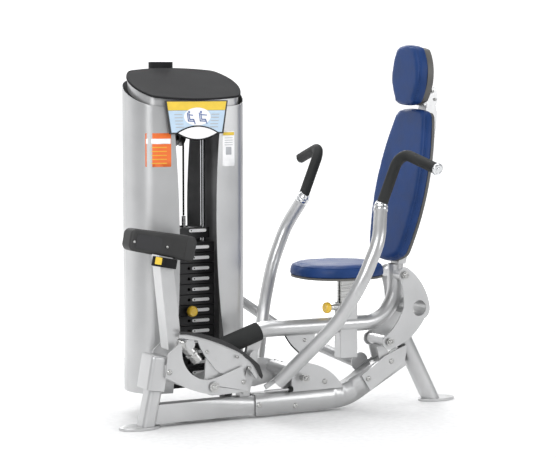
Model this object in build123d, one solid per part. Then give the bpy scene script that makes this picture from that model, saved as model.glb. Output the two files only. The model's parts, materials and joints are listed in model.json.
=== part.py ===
from build123d import *
from math import atan2, cos, degrees, radians, sin
import os

# Selectorized chest press whose seat carriage rocks on links while the arms are pressed.
# Millimetres. X runs from the front foot to the rear foot and Y from the user's left to right.
# The user sits facing -X. The origin is on the floor, midway between the two feet and between
# the two press arms, which is also the centre of the machine's footprint.

# ---- driving dimensions ----
FOOT_X = 658            # each foot's centre, from the middle of the machine
FOOT_SIZE = (162, 100)  # oval foot plate, along X and Y
FOOT_THICK = 10
ANCHOR_X = 58           # anchor holes, from the foot's centre
ANCHOR_R = 6.5

WALL = 3                # wall of every steel tube
RAIL_W, RAIL_H = 50.8, 72
RAIL_Z = 52             # centre line of the floor rail
REAR_W, REAR_H = 64, 82
REAR_START = -185
REAR_RISE = 28.5        # slope of the rear rail's raised end
REAR_CORNER_X = 215
REAR_END_X = 478

TOWER_X, TOWER_Y = -358, 246    # centre of the weight tower
TOWER_A, TOWER_B = 242, 138     # half width and half depth of its rounded section
SHEET = 2.5
UPRIGHTS = (-150, 182)   # tower uprights, from the tower's centre
UPRIGHT_W = 32
SHROUD_BOTTOM = 100
CAP_SLOPE = 22.5
SHROUD_TOP_Z = 1250     # top of the shrouds at the tower's centre line
CAP_TOP_Z = 1291        # top of the cap at the tower's centre line
RIM_UP = 33             # how far the bright rim stands above the shrouds
TOWER_CORNER = 64       # corner radius of the rounded section
CAP_CORNER = 42         # corner radius of the cap
CAP_A, CAP_B = 226, 143 # half width and half depth of the cap
SLOT_HALF = 78          # half width of the waist of the shroud's opening
SLOT_TOP = 116          # half width at its top
SLOT_FOOT = (112, 150)  # half width at its bottom, to the left and to the right

PLATE_SIZE = (222, 96, 38)      # one weight plate
PLATE_PITCH = 41
STACK_BASE_Z = 139
SHELF_TOP = 118
HEAD_GAP = 14           # head plate above the top weight plate
PLATES_RESTING = 6
PLATES_LIFTED = 7
ROD_X, ROD_R = 84, 9.5          # guide rods

HUB = (13, 147)         # press arm axis, X and Z
CAM_AXIS = (-382, 146)
LINK_LOW = (388, 264)   # rear link, lower and upper axis
LINK_TOP = (457, 527)
FRONT_LOW = (-225, 115)
FRONT_TOP = (-190, 245)
SHAFT_R = 12.5
RUNNING = 0.05          # radial clearance of a shaft in its bore

ARM_R = 25.4
ARM_POINTS = [(206, 304, 818), (160, 368, 700), (92, 362, 545), (22, 296, 388), (-120, 96, 146)]
ARM_RADII = [190, 420, 420]
GRIP_R = 21
GRIP_POINTS = [(209, 305, 829), (290, 306, 1028), (316, 523, 971)]
GRIP_BEND = 50

CARRIAGE_R = 31.75
CARRIAGE_Z = 340
FOOT_TUBE_R = 34
FOOT_TUBE_LOW = (-350, 270)
FOOT_TUBE_TOP = (-141, CARRIAGE_Z)
UPRIGHT_X = 463

SEAT_X = 190
SEAT_TOP = 584
SEAT_LOW = 538          # underside of the seat cushion
POST_X = 233
POST_SIZE = (60, 36)
SLEEVE_SIZE = (76, 50)
SLEEVE_Z = (205, 424)
PIN_Z = 413

BACK_LOW = (396, 583)   # lower and upper end of the back pad's front face, X and Z
BACK_HIGH = (531, 1190)
BACK_THICK = 38
SHELL_THICK = 13
HEAD_LOW = (494, 1196)
HEAD_HIGH = (504, 1437)

nodes = {}


def plate_xz(sketch, y_low, y_high):
    """A flat outline drawn in X and Z, as a plate between two Y values."""
    solid = extrude(Plane.XZ * sketch, y_high - y_low)
    return Pos(0, y_high, 0) * solid


def pair_xz(sketch, y_in, y_out):
    """The same plate on both sides of the middle plane."""
    return [plate_xz(sketch, y_in, y_out), plate_xz(sketch, -y_out, -y_in)]


def outline(*edges):
    return make_face(Wire(list(edges)))


def disc_xz(centre, radius):
    return Pos(centre[0], centre[1]) * Circle(radius)


def bar_y(centre, radius, y_low, y_high):
    """A round bar along Y."""
    middle = (y_low + y_high) / 2
    return Pos(centre[0], middle, centre[1]) * Rot(90, 0, 0) * Cylinder(radius, y_high - y_low)


def round_bar(start, end, radius):
    """A straight round bar between two points."""
    path = Line(start, end)
    return sweep(Plane(origin=start, z_dir=path % 0) * Circle(radius), path=path)


def round_tube(path, radius, wall=WALL):
    """A hollow round tube along a path of lines and arcs."""
    start = Plane(origin=path @ 0, z_dir=path % 0)
    outer = sweep(start * Circle(radius), path=path)
    inner = sweep(start * Circle(radius - wall), path=path)
    return outer - inner


def fused(pieces):
    """Touching pieces joined into one shape."""
    body = pieces[0]
    for piece in pieces[1:]:
        body = body + piece
    return body


def add(name, *solids):
    """Store one node as a group of separate solids."""
    group = []
    for item in solids:
        group.extend(item if isinstance(item, list) else [item])
    nodes[name] = Compound([s for item in group for s in item.solids()])


# ---- floor frame ----
def foot(x):
    plate = extrude(Ellipse(FOOT_SIZE[0] / 2, FOOT_SIZE[1] / 2), FOOT_THICK)
    plate = fillet(plate.edges().group_by(Axis.Z)[-1], 2.5)
    for side in (-1, 1):
        plate -= Pos(side * ANCHOR_X, 0, FOOT_THICK / 2) * Cylinder(ANCHOR_R, 3 * FOOT_THICK)
    return Pos(x, 0, 0) * plate


def leg_bar(grow=0):
    """The front leg as a solid bar, a little larger all round when it is used as a cutter."""
    path = Line((-636, 0, -11), (-603, 0, 142))
    start = Plane(origin=path @ 0, x_dir=(0.978, 0, -0.21), z_dir=path % 0)
    return sweep(start * RectangleRounded(54 + 2 * grow, 76.2 + 2 * grow, 20 + grow), path=path)


def front_leg():
    return leg_bar() - leg_bar(-WALL) - below_feet()


def below_feet():
    """Everything under the top face of the feet."""
    return Pos(0, 0, FOOT_THICK - 100) * Box(2000, 400, 200)


def front_saddle():
    """Leaning bent-up hood that caps the front leg, with a web across its open bottom."""
    lean = 10
    hood = Pos(0, 0, 16) * Box(68, 112, 132)
    hood = fillet(hood.edges().filter_by(Axis.Z).group_by(Axis.X)[0], 16)
    hood = fillet(hood.edges().filter_by(Axis.Y).group_by(Axis.Z)[-1], 14)
    hood -= Pos(2, 0, -1) * Box(54, 98, 150)
    web = Pos(2, 0, -45.5) * Box(53.6, 97.6, 6)
    placed = Pos(-606, 0, 196) * Rot(0, lean, 0)
    return [placed * hood, placed * web]


def guard_outline():
    rim = outline(
        Line((-570, 284), (-524, 322)),
        Line((-524, 322), (-512, 304)),
        ThreePointArc((-512, 304), (-478, 206), (-400, 174)),
        Line((-400, 174), (-364, 182)),
        Line((-364, 182), (-262, 216)),
        Line((-262, 216), (-236, 118)),
        Line((-236, 118), (-363, 113)),
        ThreePointArc((-363, 113), (-452, 134), (-549, 179)),
        Line((-549, 179), (-582, 196)),
        Line((-582, 196), (-570, 284)),
    )
    return rim - disc_xz(CAM_AXIS, SHAFT_R + RUNNING)


def guard_plates():
    """Side plates that carry the cam's shaft, with the packers that set them off the saddle."""
    packer = Pos(-572, 222) * Rectangle(16, 44)
    return pair_xz(guard_outline(), 64, 70) + pair_xz(packer, 56.2, 64)


def rail_section(width, height, wall):
    return Rectangle(height, width) - Rectangle(height - 2 * wall, width - 2 * wall)


def front_rail():
    path = Line((-606, 0, RAIL_Z), (REAR_START + 90, 0, RAIL_Z))
    start = Plane(origin=path @ 0, x_dir=(0, 0, 1), z_dir=(1, 0, 0))
    return sweep(start * rail_section(RAIL_W, RAIL_H, WALL), path=path) - leg_bar(0.2)


def rear_rail():
    rise = (REAR_END_X - REAR_CORNER_X) * sin(radians(REAR_RISE)) / cos(radians(REAR_RISE))
    path = FilletPolyline(
        (REAR_START, 0, RAIL_Z),
        (REAR_CORNER_X, 0, RAIL_Z),
        (REAR_END_X, 0, RAIL_Z + rise),
        radius=230,
    )
    start = Plane(origin=path @ 0, x_dir=(0, 0, 1), z_dir=(1, 0, 0))
    rail = sweep(start * rail_section(REAR_W, REAR_H, 4.5), path=path)
    return rail - round_bar(leg_line() @ 0, leg_line() @ 1, 35.2)


def rear_leg():
    tube = round_tube(leg_line(), 35)
    upper = Plane(origin=leg_line() @ 1, z_dir=leg_line() % 1)
    lid = extrude(upper * Circle(35), -WALL)
    return tube + lid - below_feet()


def leg_line():
    return Line((645, 0, -20), (496, 0, 264))


def end_plate_outline():
    return fillet(Polygon((282, 132), (322, 70), (482, 172), (492, 243), (386, 202), align=None).vertices(), 6)


def rear_pivot():
    """Bearing tube for the rear link, carried by two uprights on the rail's raised end."""
    post = Pos(386, 212) * Rot(0, 0, 14) * Rectangle(44, 70)
    walls = [plate_xz(post, 24, 32), plate_xz(post, -32, -24)]
    bearing = bar_y(LINK_LOW, 22, -66, 66)
    body = walls[0] + walls[1] + bearing
    body -= bar_y(LINK_LOW, SHAFT_R + RUNNING, -70, 70)
    return body - rear_rail_block()


def rear_rail_block():
    """The space that the raised end of the rear rail fills."""
    direction = radians(REAR_RISE)
    length = 2 * (REAR_END_X - REAR_CORNER_X) / cos(direction) - 20
    centre_x = REAR_CORNER_X + 10
    rise = (centre_x - REAR_CORNER_X) * sin(direction) / cos(direction)
    block = Box(length, REAR_W + 20, REAR_H + 0.2)
    return Pos(centre_x, 0, RAIL_Z + rise) * Rot(0, -REAR_RISE, 0) * block


def hub_plate_outline():
    fan = outline(
        Line((-34, 94), (-34, 150)),
        ThreePointArc((-34, 150), (-8, 190), (40, 200)),
        ThreePointArc((40, 200), (140, 158), (196, 94)),
        Line((196, 94), (-34, 94)),
    )
    return fan - disc_xz(HUB, SHAFT_R + RUNNING)


def hub_bracket():
    """Fan-shaped cheeks on the rail that hold the press arms' shaft, with a spacer."""
    cheeks = pair_xz(hub_plate_outline(), 38, 44)
    floor = Pos(64, 0, 96.1) * Box(196, 75.6, 5)
    spacer = bar_y((113, 124), 12, -37.8, 37.8)
    return cheeks + [floor, spacer]


def front_pivot_bracket():
    """Small block on the rail for the front link's lower axis."""
    block = Pos(FRONT_LOW[0], 0, 111) * Box(44, 36, 46)
    return block - bar_y(FRONT_LOW, 8 + RUNNING, -40, 40)


def pivot_shafts():
    return [
        bar_y(LINK_LOW, SHAFT_R, -84, 84),
        bar_y(HUB, SHAFT_R, -72, 72),
        bar_y(CAM_AXIS, SHAFT_R, -76, 76),
        bar_y(FRONT_LOW, 8, -34, 34),
    ]


def tower_brace():
    """Round bar from the tower's right side down to the rear rail, with a flange at each end."""
    path = FilletPolyline(
        (-210, 330, 530),
        (-130, 378, 463),
        (182, 370, 254),
        (318, 44, 166),
        radius=[50, 110],
    )
    bar = round_tube(path, 20.5)
    flange = Pos(322, 45.4, 174) * Rot(90, 0, 0) * Cylinder(38, 6)
    bar = bar - Pos(318, 0, 165) * Box(200, 2 * 48.6, 260) - extrude(tower_section(-0.4), 900)
    return [bar, flange]


# ---- weight tower ----
def oval(half_width, half_depth, corner, inset=0):
    """The tower's plan: bulged front, back and sides with well rounded corners."""
    a, b = half_width - inset, half_depth - inset
    x, y = 0.8 * half_width - 0.7 * inset, 0.82 * half_depth - 0.7 * inset
    shape = outline(
        ThreePointArc((-x, -y), (0, -b), (x, -y)),
        ThreePointArc((x, -y), (a, 0), (x, y)),
        ThreePointArc((x, y), (0, b), (-x, y)),
        ThreePointArc((-x, y), (-a, 0), (-x, -y)),
    )
    return Pos(TOWER_X, TOWER_Y) * fillet(shape.vertices(), corner - 0.7 * inset)


def tower_section(inset=0):
    """The shrouds' outer plan, or the same plan moved inwards."""
    return oval(TOWER_A, TOWER_B, TOWER_CORNER, inset)


def above_slope(height_at_centre):
    """Everything above a plane that falls towards the front of the tower."""
    block = Pos(0, 0, 500) * Box(1200, 1200, 1000)
    return Pos(TOWER_X, TOWER_Y, height_at_centre) * Rot(CAP_SLOPE, 0, 0) * block


def slot_outline():
    top, bottom, waist = 1300, 60, 720
    return outline(
        ThreePointArc((-SLOT_FOOT[0], bottom), (-SLOT_HALF, waist), (-SLOT_TOP, top)),
        Line((-SLOT_TOP, top), (SLOT_TOP, top)),
        ThreePointArc((SLOT_TOP, top), (SLOT_HALF, waist), (SLOT_FOOT[1], bottom)),
        Line((SLOT_FOOT[1], bottom), (-SLOT_FOOT[0], bottom)),
    )


def shrouds():
    """Four curved covers: left and right, front and rear, with slots between them."""
    shell = extrude(tower_section() - tower_section(SHEET), 1300 - SHROUD_BOTTOM)
    shell = Pos(0, 0, SHROUD_BOTTOM) * shell
    shell -= above_slope(SHROUD_TOP_Z)
    slot = Pos(TOWER_X, 0, 0) * plate_xz(slot_outline(), 0, 600)
    shell -= slot
    seam = Pos(TOWER_X, TOWER_Y, 700) * Box(700, 1, 1400)
    shell -= seam
    front = [s for s in shell.solids() if s.center().Y < TOWER_Y]
    rear = [s for s in shell.solids() if s.center().Y > TOWER_Y]
    return front, rear


def tower_frame():
    """Two uprights with a header that holds the guide rods and the pulley bracket."""
    uprights = []
    for offset in UPRIGHTS:
        post = Box(UPRIGHT_W, 50, 1146) - Box(UPRIGHT_W - 2 * WALL, 50 - 2 * WALL, 1150)
        uprights.append(Pos(TOWER_X + offset, TOWER_Y, 24 + 573) * post)
    middle = TOWER_X + sum(UPRIGHTS) / 2
    between = UPRIGHTS[1] - UPRIGHTS[0]
    header = Pos(middle, TOWER_Y, 1182.7) * Box(between + UPRIGHT_W, 60, 25)
    for side in (-1, 1):
        header -= Pos(TOWER_X + side * ROD_X, TOWER_Y, 1180) * Cylinder(ROD_R + RUNNING, 60)
    shelf = Pos(middle, TOWER_Y, SHELF_TOP - 10) * Box(between - UPRIGHT_W - 0.4, 60, 20)
    return uprights + [header, shelf] + stay_brackets()


def tower_base():
    """Low welded base: two runners to the rail and a cross bar under the uprights."""
    middle = TOWER_X + sum(UPRIGHTS) / 2
    bars = Pos(middle, TOWER_Y, 12) * Box(UPRIGHTS[1] - UPRIGHTS[0] + UPRIGHT_W, 90, 24)
    length = TOWER_Y - RAIL_W / 2
    for x in (TOWER_X - 100, TOWER_X + 44):
        bars += Pos(x, RAIL_W / 2 + length / 2, 20) * Box(44, length, 8)
        bars += Pos(x, TOWER_Y, 7) * Box(44, 120, 14)
    return bars


def stay_brackets():
    """Sheet brackets that hold the shrouds to the uprights."""
    brackets = []
    for z in (180, 700, 1120):
        for side, offset in ((-1, UPRIGHTS[0]), (1, UPRIGHTS[1])):
            inner = abs(offset) + UPRIGHT_W / 2 + 0.2
            outer = TOWER_A - SHEET - 1.2
            strip = Pos(TOWER_X + side * (inner + outer) / 2, TOWER_Y, z) * Box(outer - inner, 30, 24)
            brackets.append(strip)
    return brackets


def tower_cap():
    """Thin sloping moulded cap that overhangs the shrouds a little in front."""
    body = Pos(0, -7, 0) * extrude(oval(CAP_A, CAP_B, CAP_CORNER), 1500)
    body = body - above_slope(CAP_TOP_Z)
    body = body & above_slope(SHROUD_TOP_Z + RIM_UP + 0.4)
    top_face = body.faces().sort_by(SortBy.AREA)[-2:].sort_by(Axis.Z)[-1]
    return fillet(top_face.edges(), 4)


def cap_rim():
    """Bright band that closes the shrouds under the cap."""
    outer = oval(CAP_A - 5, TOWER_B - 5, CAP_CORNER)
    inner = oval(CAP_A - 5, TOWER_B - 5, CAP_CORNER, 16)
    band = extrude(outer - inner, 1500)
    band = band & above_slope(SHROUD_TOP_Z - 8)
    return band - above_slope(SHROUD_TOP_Z + RIM_UP)


def bottle_holder():
    cup = Cylinder(48, 62) - Pos(0, 0, 4) * Cylinder(44, 62)
    bracket = Pos(0, -54.4, -22) * Box(40, 16.8, 5)
    return Pos(TOWER_X - 6, TOWER_Y + 196, 1338) * (cup + bracket)


def placard():
    """Exercise placard in front of the top of the slot."""
    top_half, low_half = 127, 108
    shape = outline(
        Line((-top_half, 1216), (top_half, 1216)),
        Line((top_half, 1216), (low_half, 1100)),
        Line((low_half, 1100), (-low_half, 1100)),
        Line((-low_half, 1100), (-top_half, 1216)),
    )
    front = TOWER_Y - TOWER_B - 7
    return Pos(TOWER_X - 10, 0, 0) * plate_xz(shape, front, front + 5)


def guide_rods():
    length = 1190 - SHELF_TOP
    rods = []
    for side in (-1, 1):
        rods.append(Pos(TOWER_X + side * ROD_X, TOWER_Y, SHELF_TOP + 0.2 + length / 2) * Cylinder(ROD_R, length))
    return rods


def stack_bumpers():
    rings = []
    for side in (-1, 1):
        ring = Cylinder(20, STACK_BASE_Z - SHELF_TOP - 0.4) - Cylinder(ROD_R + 0.3, 60)
        rings.append(Pos(TOWER_X + side * ROD_X, TOWER_Y, (STACK_BASE_Z + SHELF_TOP) / 2) * ring)
    return rings


def weight_plate(index):
    width, depth, height = PLATE_SIZE
    body = Box(width, depth, height)
    body = fillet(body.edges().filter_by(Axis.Z), 8)
    for side in (-1, 1):
        body -= Pos(side * ROD_X, 0, 0) * Cylinder(ROD_R + 1.5, height + 2)
    body -= Cylinder(13.5, height + 2)
    body -= Pos(0, -depth / 4, 0) * Rot(90, 0, 0) * Cylinder(6.2, depth / 2 + 2)
    z = STACK_BASE_Z + PLATE_PITCH * index + height / 2
    return Pos(TOWER_X, TOWER_Y, z) * body


HEAD_Z = STACK_BASE_Z + PLATE_PITCH * (PLATES_RESTING + PLATES_LIFTED) + HEAD_GAP
PIN_HOLE_Z = STACK_BASE_Z + PLATE_PITCH * PLATES_RESTING + PLATE_SIZE[2] / 2


def head_plate():
    """Top plate of the stack, standing on a short neck over the plates below."""
    body = Pos(0, 0, 20) * Box(186, 90, 40)
    body = fillet(body.edges().filter_by(Axis.Z), 10)
    neck_height = HEAD_GAP + PLATE_PITCH - PLATE_SIZE[2] - 0.3
    body += Pos(0, 0, -neck_height / 2) * Cylinder(30, neck_height)
    for side in (-1, 1):
        body -= Pos(side * ROD_X, 0, 20) * Cylinder(ROD_R + 1.5, 60)
    body -= Cylinder(12.3, 200)
    return Pos(TOWER_X, TOWER_Y, HEAD_Z) * body


def selector_stem():
    """Stem through the plates, with the cable's fitting on top."""
    bottom = PIN_HOLE_Z - 30
    top = HEAD_Z + 48
    stem = Pos(0, 0, (bottom + top) / 2) * Cylinder(12, top - bottom)
    collar = Pos(0, 0, HEAD_Z + 44) * Cylinder(17, 7.6)
    fitting = Pos(0, 0, HEAD_Z + 66) * Cylinder(8, 37)
    body = stem + collar + fitting
    for index in range(PLATES_LIFTED):
        z = PIN_HOLE_Z + PLATE_PITCH * index
        body -= Pos(0, 0, z) * Rot(90, 0, 0) * Cylinder(6.2, 40)
    return Pos(TOWER_X, TOWER_Y, 0) * body


CABLE_LOW = HEAD_Z + 85
CABLE_TOP = 1098


def stack_cable():
    height = CABLE_TOP - CABLE_LOW
    return Pos(TOWER_X, TOWER_Y, (CABLE_LOW + CABLE_TOP) / 2) * Cylinder(4, height)


PULLEY_R = 52
PULLEY_Z = 1098


def top_pulley():
    """Grooved sheave; the cable leaves it straight above the stem."""
    wheel = Cylinder(PULLEY_R + 6, 26) - Cylinder(SHAFT_R + RUNNING, 30)
    groove = Torus(PULLEY_R + 6, 10.4)
    wheel -= groove
    return Pos(TOWER_X, TOWER_Y + PULLEY_R, PULLEY_Z) * Rot(0, 90, 0) * wheel


def pulley_bracket():
    cheeks = []
    for side in (-1, 1):
        cheek = Pos(side * 18, 0, 17) * Box(5, 60, 104)
        cheek -= Rot(0, 90, 0) * Cylinder(SHAFT_R + RUNNING, 120)
        cheeks.append(cheek)
    axle = Rot(0, 90, 0) * Cylinder(SHAFT_R, 54)
    placed = Pos(TOWER_X, TOWER_Y + PULLEY_R, PULLEY_Z)
    bridge = Pos(0, -30, 67.6) * Box(31, 116, 7)
    return [placed * cheeks[0], placed * cheeks[1], placed * axle, placed * bridge]


def selector_pin():
    """Selector pin with its round knob, pushed into a plate and the stem."""
    knob_y = TOWER_Y - 76
    length = 88
    shaft = Pos(TOWER_X, knob_y + length / 2, PIN_HOLE_Z) * Rot(90, 0, 0) * Cylinder(5, length)
    knob = Pos(TOWER_X, knob_y, PIN_HOLE_Z) * Rot(90, 0, 0) * Cylinder(21, 26)
    knob = fillet(knob.edges(), 5)
    collar = Pos(TOWER_X, knob_y + 19.5, PIN_HOLE_Z) * Rot(90, 0, 0) * Cylinder(10, 14)
    return knob + collar + shaft


# ---- cam and counterweight lever ----
def cam_outline():
    """The cam's long upper edge and its round belly."""
    return outline(
        ThreePointArc((-519, 352), (-332, 305), (-186, 186)),
        Line((-186, 186), (-196, 160)),
        Line((-196, 160), (-236, 216)),
        ThreePointArc((-236, 216), (-299, 185), (-387, 234)),
        ThreePointArc((-387, 234), (-424, 282), (-444, 326)),
        Line((-444, 326), (-519, 340)),
        Line((-519, 340), (-519, 352)),
    )


def cam_plates():
    """Lens-shaped cam plate with the short arm and hub that carry it on its shaft."""
    web = Polygon((-412, 150), (-406, 262), (-330, 212), (-350, 136), align=None)
    face = cam_outline() + disc_xz(CAM_AXIS, 34) + web - disc_xz(CAM_AXIS, SHAFT_R + RUNNING)
    return plate_xz(face, -58, -50)


def cam_rim():
    """Crescent of black polymer that the drive belt lies on, bolted to the cam plate."""
    crescent = outline(
        ThreePointArc((-519, 365), (-332, 315), (-187, 214)),
        Line((-187, 214), (-172, 172)),
        Line((-172, 172), (-176, 160)),
        Line((-176, 160), (-186, 172)),
        ThreePointArc((-186, 172), (-222, 229), (-288, 277)),
        ThreePointArc((-288, 277), (-392, 322), (-519, 358)),
        Line((-519, 358), (-519, 365)),
    )
    return plate_xz(crescent, -68, -58.2)


def cam_lever_bar():
    bar = fillet(Polygon((-372, 249), (-307, 276), (-254, 246), (-338, 215), align=None).vertices(), 4)
    return plate_xz(bar, -66, -58.2)


def counterweight_post():
    """Leaning square post from the cam up to the counterweight."""
    lower = Vector(-528, 0, 322)
    upper = Vector(-563, 0, 655)
    path = Line(lower, upper)
    start = Plane(origin=lower, x_dir=(0.9945, 0, 0.1045), z_dir=path % 0)
    post = sweep(start * Rectangle(54, 70), path=path) - sweep(start * Rectangle(48, 64), path=path)
    return post - weight_frame() * Pos(0, 0, 40) * Box(400, 200, 133)


def lever_foot():
    """Curved forging that joins the post's lower end to the cam plate."""
    path = FilletPolyline((-528, 0, 318), (-506, 0, 306), (-450, 0, 312), radius=40)
    elbow = sweep(Plane(origin=path @ 0, z_dir=path % 0) * Circle(24), path=path)
    neck = bar_y((-470, 312), 20, -49.8, 0)
    socket = Pos(-527, 0, 310) * Rot(0, -6, 0) * Box(54, 70, 26)
    return elbow + neck + socket


def weight_frame():
    """Placement of the counterweight: its long axis falls a little towards the user."""
    return Pos(-572, 0, 690) * Rot(0, 11, 0)


def counterweight():
    return weight_frame() * Pos(0, 0, 4) * Box(236, 56, 60)


def cover_shape():
    """Rounded block that is a little taller at its right end."""
    side = Polygon((-136, -41), (136, -49), (136, 49), (-136, 41), align=None)
    body = plate_xz(fillet(side.vertices(), 24), -42, 42)
    return fillet(body.edges().group_by(Axis.Y)[0] + body.edges().group_by(Axis.Y)[-1], 14)


def counterweight_cover():
    """Two-part moulded cover round the iron counterweight."""
    shell = cover_shape() - Pos(0, 0, 4) * Box(236.6, 56.6, 60.6)
    shell -= Pos(8, 0, -48) * Box(92, 73, 60)
    left = shell & Pos(-60, 0, 0) * Box(299, 200, 200)
    right = shell & Pos(150, 0, 0) * Box(120.4, 200, 200)
    placed = weight_frame()
    return [placed * left, placed * right]


def pin_holder():
    """Small black block with the spare increment pin's square grip."""
    block = Pos(-572, -44.2, 624) * Rot(0, 11, 0) * Box(96, 18, 36)
    grip = Pos(-596, -61.4, 628) * Rot(0, 11, 0) * Box(28, 16, 28)
    return [block, grip]


# ---- press arms ----
def mirrored(points, side):
    return [(x, side * y, z) for x, y, z in points]


def arm(side):
    path = FilletPolyline(*mirrored(ARM_POINTS, side), radius=ARM_RADII)
    return round_tube(path, ARM_R)


def arm_end(side, above):
    """Plane across the arm's upper end, a little above it."""
    before, last = mirrored(ARM_POINTS[:2][::-1], side)
    direction = (Vector(*last) - Vector(*before)).normalized()
    return Plane(origin=Vector(*last) + direction * above, z_dir=direction)


def grip(side):
    """Bent handle tube that starts on the arm's collar."""
    first, corner, last = mirrored(GRIP_POINTS, side)
    lead = (Vector(*corner) - Vector(*first)).normalized() * 16
    path = FilletPolyline(Vector(*first) - lead, corner, last, radius=GRIP_BEND)
    start = Plane(origin=path @ 0, z_dir=path % 0)
    tube = sweep(start * (Circle(GRIP_R) - Circle(GRIP_R - 6)), path=path)
    return tube - arm_end(side, 9) * Pos(0, 0, -30) * Box(120, 120, 60)


def arm_collar(side):
    return extrude(arm_end(side, 0.3) * Circle(ARM_R + 1), 8.4)


def grip_end_cap(side):
    before, last = mirrored(GRIP_POINTS[1:], side)
    direction = (Vector(*last) - Vector(*before)).normalized()
    start = Vector(*last) + direction * 0.2
    return round_bar(start, start + direction * 9, GRIP_R + 2)


def yoke_cheek():
    face = disc_xz(HUB, 32) + outline(
        Line((-71, 216), (13, 179)),
        Line((13, 179), (13, 115)),
        Line((13, 115), (-71, 156)),
        Line((-71, 156), (-71, 216)),
    )
    return face - disc_xz(HUB, SHAFT_R + RUNNING)


def yoke_wing():
    """Large side plate on the far end of the cross tube."""
    return outline(
        Line((-230, 118), (-250, 205)),
        ThreePointArc((-250, 205), (-180, 216), (-118, 222)),
        Line((-118, 222), (-44, 206)),
        Line((-44, 206), (-44, 130)),
        Line((-44, 130), (-150, 112)),
        Line((-150, 112), (-230, 118)),
    )


def arm_yoke():
    """Hub cheeks and a cross tube that the arms grow from, with a wing plate on the far end."""
    cheeks = pair_xz(yoke_cheek(), 24, 34)
    cross = bar_y((-71, 186), 26, -98, 98)
    wing = plate_xz(yoke_wing(), 49, 57)
    flange = Pos(-190, 63.9, 117.5) * Rot(0, 2, 0) * Box(90, 14, 5)
    rib = plate_xz(Polygon((-160, 132), (-152, 116), (19, 208), (11, 224), align=None), -57, -49)
    body = cheeks[0] + cheeks[1] + cross + wing + flange + rib
    for side in (-1, 1):
        bottom, above = mirrored(ARM_POINTS[::-1][:2], side)
        direction = (Vector(*above) - Vector(*bottom)).normalized()
        body -= round_bar(Vector(*bottom) - direction * 0.2, Vector(*bottom) + direction * 200, ARM_R + 0.2)
    return body


# ---- seat carriage ----
def rear_link():
    """Boomerang plates on both sides, tied by a cross tube through their round windows."""
    face = outline(
        ThreePointArc((478, 550), (546, 478), (577, 396)),
        ThreePointArc((577, 396), (572, 366), (552, 347)),
        ThreePointArc((552, 347), (484, 274), (398, 236)),
        ThreePointArc((398, 236), (361, 250), (364, 282)),
        ThreePointArc((364, 282), (420, 334), (454, 394)),
        ThreePointArc((454, 394), (452, 460), (432, 526)),
        ThreePointArc((432, 526), (446, 555), (478, 550)),
    )
    window = disc_xz((527, 391), 32)
    holes = disc_xz(LINK_LOW, SHAFT_R + RUNNING) + disc_xz(LINK_TOP, SHAFT_R + RUNNING)
    plates = pair_xz(face - window - holes, 69, 76)
    tie = bar_y((527, 391), 34, -76, 76) - bar_y((527, 391), 31, -80, 80)
    return plates[0] + plates[1] + tie


def front_link():
    """Two short straps with a pin that joins them to the carriage's lug."""
    lean = degrees(atan2(FRONT_TOP[0] - FRONT_LOW[0], FRONT_TOP[1] - FRONT_LOW[1]))
    middle = ((FRONT_LOW[0] + FRONT_TOP[0]) / 2, (FRONT_LOW[1] + FRONT_TOP[1]) / 2)
    strap = Pos(*middle) * Rot(0, 0, 90 - lean) * SlotOverall(134.6 + 36, 36)
    straps = pair_xz(strap - disc_xz(FRONT_LOW, 8 + RUNNING), 22, 28)
    pin = bar_y(FRONT_TOP, 8, -28, 28)
    return straps[0] + straps[1] + pin


def carriage_path():
    return FilletPolyline(
        (FOOT_TUBE_LOW[0], 0, FOOT_TUBE_LOW[1]),
        (FOOT_TUBE_TOP[0], 0, FOOT_TUBE_TOP[1]),
        (UPRIGHT_X, 0, CARRIAGE_Z - 4),
        (UPRIGHT_X - 3, 0, 566),
        radius=[120, 148],
    )


def carriage_tube():
    """Bent main tube with the front lug, the stop lug and the boss of the rear axis."""
    path = carriage_path()
    start = Plane(origin=path @ 0, z_dir=path % 0)
    outer = sweep(start * Circle(CARRIAGE_R), path=path)
    boss = bar_y(LINK_TOP, 22, -66, 66)
    lug = outline(
        Line((-206, 316), (-214, 240)),
        ThreePointArc((-214, 240), (-196, 221), (-172, 232)),
        Line((-172, 232), (-142, 314)),
        Line((-142, 314), (-206, 316)),
    )
    lug = lug - disc_xz(FRONT_TOP, 11)
    front_lug = plate_xz(lug, -9, 9)
    stop = outline(
        Line((-46, 322), (90, 322)),
        ThreePointArc((90, 322), (70, 262), (24, 236)),
        ThreePointArc((24, 236), (-6, 262), (-46, 322)),
    )
    stop_lug = plate_xz(stop, -6, 6)
    body = outer + front_lug + stop_lug + boss
    inner = sweep(start * Circle(CARRIAGE_R - WALL), path=path)
    body -= inner
    body -= bar_y(LINK_TOP, SHAFT_R + RUNNING, -80, 80)
    sleeve_hole = Pos(POST_X, 0, 300) * Box(SLEEVE_SIZE[0], SLEEVE_SIZE[1], 300)
    return body - sleeve_hole


def foot_tube():
    """Black rubber sleeve over the lowered front end of the carriage."""
    low, high = FOOT_TUBE_LOW, FOOT_TUBE_TOP
    run = (high[0] - low[0], high[1] - low[1])
    length = (run[0] ** 2 + run[1] ** 2) ** 0.5
    unit = Vector(run[0] / length, 0, run[1] / length)
    start = Vector(low[0], 0, low[1]) - unit * 6
    end = Vector(high[0], 0, high[1]) - unit * 18
    sleeve = round_bar(start, end, CARRIAGE_R + 5)
    bore = round_bar(start + unit * 6, end + unit * 40, CARRIAGE_R + 0.2)
    sleeve -= bore
    lug_space = Pos(-176, 0, 270) * Box(96, 19, 120)
    return sleeve - lug_space


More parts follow.
